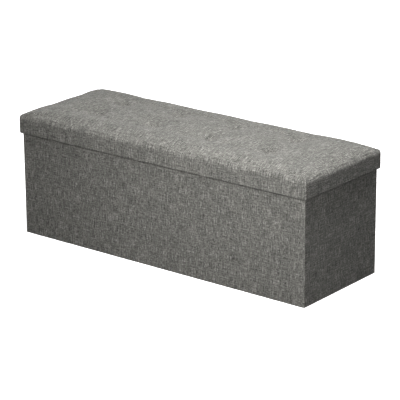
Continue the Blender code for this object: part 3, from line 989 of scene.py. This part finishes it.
def pull_tab(side):
    """A folded ribbon tab, sewn down at its outer half."""
    name = f"pull_tab_{side}"
    low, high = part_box(name)
    lift = 0.0040

    def height(x, y, edge):
        along = (y - low.y) / (high.y - low.y)
        free = max(0.0, along - 0.5) * 2
        return low.z + 0.0008 + lift * free * free

    layers = []
    for number, gap in enumerate((0.0, 0.0008), start=1):
        layer = f"{name}_ribbon_{number}"
        layers.append(cloth_grid(layer, low, high, 0.0025, lambda x, y, edge: height(x, y, edge) + gap))
    bm = bmesh.new()
    for mesh in layers:
        bm.from_mesh(mesh)
    fold = [v for v in bm.verts if v.co.y > high.y - 0.0001]
    fold.sort(key=lambda v: (round(v.co.x, 5), v.co.z))
    for a in range(0, len(fold) - 2, 2):
        bm.faces.new((fold[a], fold[a + 2], fold[a + 3], fold[a + 1]))
    mesh = baked(f"{name}_ribbon", bm)
    mesh.shade_smooth()
    piece = new_piece(f"{name}_ribbon", mesh, WEBBING, "floor_panel", [name])
    thicken(piece, 0.0005, offset=0.0)
    length = high.y - low.y
    inset = 0.0025
    x0, x1, y0, y1 = low.x + inset, high.x - inset, low.y + inset, low.y + length * 0.42
    z = low.z + 0.0019
    up = (0, 0, 1)
    box = [((x0, y0, z), (x1, y0, z), up), ((x0, y1, z), (x1, y1, z), up)]
    box += [((x0, y0, z), (x0, y1, z), up), ((x1, y0, z), (x1, y1, z), up), ((x0, y0, z), (x1, y1, z), up)]
    mesh = stitches(f"{name}_stitches", box, 0.0022, pitch=0.0030)
    new_piece(f"{name}_stitches", mesh, THREAD, "floor_panel")


# The divider frame


def steel_tube(name, points, radius, replaced, sides=24):
    """A round tube along points, drawn as a curve and made a mesh."""
    curve = bpy.data.curves.new(name, "CURVE")
    curve.dimensions = "3D"
    curve.bevel_depth = radius
    curve.bevel_resolution = (sides - 4) // 2
    curve.use_fill_caps = True
    spline = curve.splines.new("POLY")
    spline.points.add(len(points) - 1)
    for point, place in zip(spline.points, points):
        point.co = (*place, 1.0)
    drawn = bpy.data.objects.new(name + "_curve", curve)
    bpy.context.scene.collection.objects.link(drawn)
    mesh = bpy.data.meshes.new_from_object(drawn.evaluated_get(bpy.context.evaluated_depsgraph_get()))
    bpy.data.objects.remove(drawn)
    bm = bmesh.new()
    bm.from_mesh(mesh)
    bmesh.ops.remove_doubles(bm, verts=bm.verts, dist=0.00001)
    bm.to_mesh(mesh)
    bm.free()
    mesh.name = name
    mesh.materials.clear()
    mesh.shade_smooth()
    mesh.set_sharp_from_angle(angle=pi / 4)
    new_piece(name, mesh, POWDER_COAT, "divider_frame", replaced)


def lathe(bm, profile, centre, axis, around=24):
    """Adds a turned solid: profile (radius, height) along axis from centre, downwards outside."""
    turn_to = Vector(axis).to_track_quat("Z", "Y").to_matrix()
    rings = []
    for radius, height in profile:
        if radius < 1e-6:
            rings.append([bm.verts.new(Vector(centre) + turn_to @ Vector((0, 0, height)))])
            continue
        ring = []
        for k in range(around):
            turn = 2 * pi * k / around
            place = turn_to @ Vector((radius * cos(turn), radius * sin(turn), height))
            ring.append(bm.verts.new(Vector(centre) + place))
        rings.append(ring)
    for upper, lower in zip(rings, rings[1:]):
        for k in range(around):
            n = (k + 1) % around
            corners = [upper[k % len(upper)], lower[k % len(lower)]]
            corners += [lower[n % len(lower)], upper[n % len(upper)]]
            unique = list(dict.fromkeys(corners))
            if len(unique) > 2:
                bm.faces.new(unique)


def turned_piece(name, solids, material, replaced=(), around=24):
    bm = bmesh.new()
    for profile, centre, axis in solids:
        lathe(bm, profile, centre, axis, around)
    mesh = baked(name, bm)
    mesh.shade_smooth()
    mesh.set_sharp_from_angle(angle=pi / 5)
    new_piece(name, mesh, material, "divider_frame", replaced)


def divider_frame():
    low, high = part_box("divider_hoop")
    radius = (high.x - low.x) / 2
    bend, steps = 0.0300, 16
    leg_y, top = high.y - radius, high.z - radius
    arc = []
    for step in range(steps + 1):
        turn = pi / 2 * step / steps
        arc.append((leg_y - bend * (1 - cos(turn)), top - bend * (1 - sin(turn))))
    points = [(0.0, -leg_y, low.z)] + [(0.0, -y, z) for y, z in arc]
    points += [(0.0, y, z) for y, z in reversed(arc)] + [(0.0, leg_y, low.z)]
    steel_tube("divider_hoop_tube", points, radius, ["divider_hoop"])
    rail_low, rail_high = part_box("divider_rail")
    rail_r = (rail_high.x - rail_low.x) / 2
    rail_z = (rail_low.z + rail_high.z) / 2
    reach = leg_y - radius * 0.75
    rail = [(0.0, -reach, rail_z), (0.0, reach, rail_z)]
    steel_tube("divider_rail_tube", rail, rail_r, ["divider_rail"])
    beads = []
    for side in (-1, 1):
        bead = ((rail_r - 0.001, 0.0042), (rail_r + 0.0012, 0.0026))
        bead += ((rail_r + 0.0024, 0.0), (rail_r - 0.001, -0.001))
        beads.append((bead, (0.0, side * (leg_y - radius + 0.0010), rail_z), (0, -side, 0)))
    for i in range(1, 5):
        bar_low, bar_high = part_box(f"divider_bar_{i}")
        bar_r = (bar_high.x - bar_low.x) / 2
        y = (bar_low.y + bar_high.y) / 2
        bar = [(0.0, y, bar_low.z - 0.0012), (0.0, y, bar_high.z + 0.0012)]
        steel_tube(f"divider_bar_{i}_rod", bar, bar_r, [f"divider_bar_{i}"], sides=16)
        bead = ((bar_r - 0.0006, 0.0028), (bar_r + 0.0008, 0.0016))
        bead += ((bar_r + 0.0016, 0.0), (bar_r - 0.0006, -0.0010))
        beads.append((bead, (0.0, y, bar_low.z), (0, 0, 1)))
        beads.append((bead, (0.0, y, bar_high.z), (0, 0, -1)))
    turned_piece("divider_weld_beads", beads, POWDER_COAT)


def divider_feet():
    """Ribbed plastic cups on the legs' ends."""
    hoop_low, hoop_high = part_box("divider_hoop")
    tube_r = (hoop_high.x - hoop_low.x) / 2
    for side in ("front", "back"):
        low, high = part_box(f"divider_foot_{side}")
        outer, tall = (high.x - low.x) / 2, high.z - low.z
        profile = [(tube_r + 0.0002, tall), (outer - 0.0012, tall), (outer - 0.0004, tall - 0.0008)]
        for rib in range(4):
            z = tall - 0.0030 - rib * 0.0032
            profile += [(outer - 0.0006, z + 0.0010), (outer, z)]
            profile += [(outer, z - 0.0008), (outer - 0.0006, z - 0.0016)]
        profile += [(outer, 0.0012), (outer - 0.0010, 0.0), (0.0, 0.0)]
        floor_z = hoop_low.z - low.z - GAP
        profile = [(0.0, floor_z), (tube_r + 0.0002, floor_z)] + profile
        centre = ((low.x + high.x) / 2, (low.y + high.y) / 2, low.z)
        solids, foot = [(profile, centre, (0, 0, 1))], [f"divider_foot_{side}"]
        turned_piece(f"divider_cup_{side}", solids, BLACK_PLASTIC, foot, around=32)


# Under the lid


def lid_underside():
    """Non-woven cloth under the lid's board and down the rails' inner faces."""
    low, high = UNDER_LOW, UNDER_HIGH
    soft = 0.0025

    def height(x, y):
        edge = min(high.x - abs(x), high.y - abs(y))
        sag = noise.noise(Vector((x * 5.0, y * 5.0, 9.0))) * 0.00020 * min(edge / 0.03, 1.0)
        return high.z - 0.0002 + min(sag, 0.0)

    drop = high.z - low.z - soft
    steps = [(soft * 0.7, soft * 0.3), (soft * 0.3, soft * 0.7)] + [(0.0, drop / 3)] * 3
    corner_steps = (0.0, 0.005, 0.012, 0.022)
    half_x, half_y = high.x - soft, high.y - soft
    mesh = cloth_pan("lid_lining_cloth", half_x, half_y, corner_steps, 0.0150, height, steps)
    piece = new_piece("lid_lining_cloth", mesh, LINING, "lid", ["lid_lining"])
    thicken(piece, NONWOVEN_T)


def staples():
    """Wire staples that hold the lid's lining to the rails, low on their inner faces."""
    inner_x, inner_y = UNDER_HIGH.x - LINING_T, UNDER_HIGH.y - LINING_T
    z = UNDER_LOW.z + 0.0080
    bm = bmesh.new()
    crown_w, wire = 0.0100, 0.0006

    def staple(centre, along, inward):
        centre, along, inward = Vector(centre), Vector(along), Vector(inward)
        up = along.cross(inward)
        corners = []
        for c in (-1, 1):
            for a, b in ((-1, 0), (1, 0), (1, 1), (-1, 1)):
                place = centre + along * (a * crown_w / 2) + inward * (b * wire - 0.0002)
                corners.append(bm.verts.new(place + up * (c * wire / 2)))
        for face in ((0, 1, 2, 3), (7, 6, 5, 4), (0, 4, 5, 1), (1, 5, 6, 2), (2, 6, 7, 3), (3, 7, 4, 0)):
            bm.faces.new([corners[i] for i in face])

    count_x, count_y = 18, 6
    for i in range(count_x):
        x = inner_x * (2 * (i + 0.5) / count_x - 1)
        for side in (-1, 1):
            staple((x, side * inner_y, z), (1, 0, 0), (0, -side, 0))
    for i in range(count_y):
        y = inner_y * (2 * (i + 0.5) / count_y - 1)
        for side in (-1, 1):
            staple((side * inner_x, y, z), (0, 1, 0), (-side, 0, 0))
    piece = new_piece("lid_staples", baked("lid_staples", bm), ZINC, "lid")
    bevel = piece.modifiers.new("Bevel", "BEVEL")
    bevel.width = 0.00018
    bevel.segments = 2


def paint_cad_nodes():
    """The boards, rails and tuft anchors keep their CAD shape and get their real material."""
    for name, node in NODES.items():
        if node.hide_render:
            continue
        if name.startswith("tuft_anchor"):
            material = ZINC
        else:
            material = FIBREBOARD
        node.data.materials.clear()
        node.data.materials.append(material)


set_camera()
seat = seat_cover()
seat_foam(seat)
finish_seat_cover(seat)
covered_buttons()
box_cover()
inner_sleeve()
rim_tape()
base_sheet()
floor_wrap()
pull_tab("left")
pull_tab("right")
divider_frame()
divider_feet()
lid_underside()
staples()
paint_cad_nodes()


# Stage

# Name, place, aim, size and power of each area light
LIGHTS = (
    ("front", (0.24, -1.02, 0.95), (0.24, -0.19, 0.16), (0.30, 0.25), 8.5),
    ("front_low", (0.22, -1.10, 0.20), (0.20, -0.19, 0.12), (0.5, 0.3), 0.9),
    ("above", (0.62, -0.30, 2.70), (0.30, 0.00, 0.40), (0.8, 0.6), 44.0),
    ("above_back", (0.60, 1.70, 2.10), (0.20, 0.00, 0.40), (0.7, 0.5), 36.0),
    ("right", (1.05, -0.85, 0.75), (0.54, -0.10, 0.22), (0.3, 0.3), 3.4),
    ("left", (-2.00, -0.10, 0.60), (-0.54, 0.00, 0.20), (0.7, 0.6), 7.0),
)
SKY = 0.20  # a broad sun straight overhead
FLOOR_GLOW = 0.95  # lifts the floor to the white of the surround
FLOOR_BOUNCE = 0.25  # how much of its light the floor throws back at the object


def camera_switch(tree, seen, given):
    """A colour factor that is seen by the camera's own rays and given to all others."""
    path = tree.nodes.new("ShaderNodeLightPath")
    made = tree.nodes.new("ShaderNodeMix")
    made.data_type = "RGBA"
    tree.links.new(path.outputs["Is Camera Ray"], made.inputs["Factor"])
    made.inputs["A"].default_value = (given, given, given, 1.0)
    made.inputs["B"].default_value = (seen, seen, seen, 1.0)
    return made.outputs["Result"]


def stage():
    """A pale floor, a white surround and soft studio lights."""
    g = Graph("studio_floor")
    pale = camera_switch(g.tree, 0.95, FLOOR_BOUNCE)
    g.finish(pale, roughness=0.9, Specular_IOR_Level=0.0, Emission_Strength=1.0)
    g.link(camera_switch(g.tree, FLOOR_GLOW, 0.0), g.shader.inputs["Emission Color"])
    reach = 20.0
    corners = [(-reach, -reach, 0.0), (reach, -reach, 0.0), (reach, reach, 0.0), (-reach, reach, 0.0)]
    mesh = mesh_of("floor", corners, [(0, 1, 2, 3)])
    mesh.materials.append(g.material)
    floor = bpy.data.objects.new("floor", mesh)
    bpy.context.scene.collection.objects.link(floor)
    floor.location.z = CAD_BOX[0].z - 0.0005
    world = bpy.data.worlds.new("studio")
    bpy.context.scene.world = world
    world.use_nodes = True
    background = world.node_tree.nodes["Background"]
    world.node_tree.links.new(camera_switch(world.node_tree, 1.0, 0.0), background.inputs["Color"])
    for name, place, target, size, power in LIGHTS:
        data = bpy.data.lights.new(name, "AREA")
        data.shape = "RECTANGLE"
        data.size, data.size_y = size
        data.energy = power
        light = bpy.data.objects.new(name, data)
        bpy.context.scene.collection.objects.link(light)
        light.location = place
        light.rotation_euler = (Vector(target) - Vector(place)).to_track_quat("-Z", "Y").to_euler()
    sky = bpy.data.objects.new("sky", bpy.data.lights.new("sky", "SUN"))
    sky.data.energy = SKY
    sky.data.angle = radians(70.0)
    bpy.context.scene.collection.objects.link(sky)
    bpy.context.scene.view_settings.view_transform = "Standard"


stage()
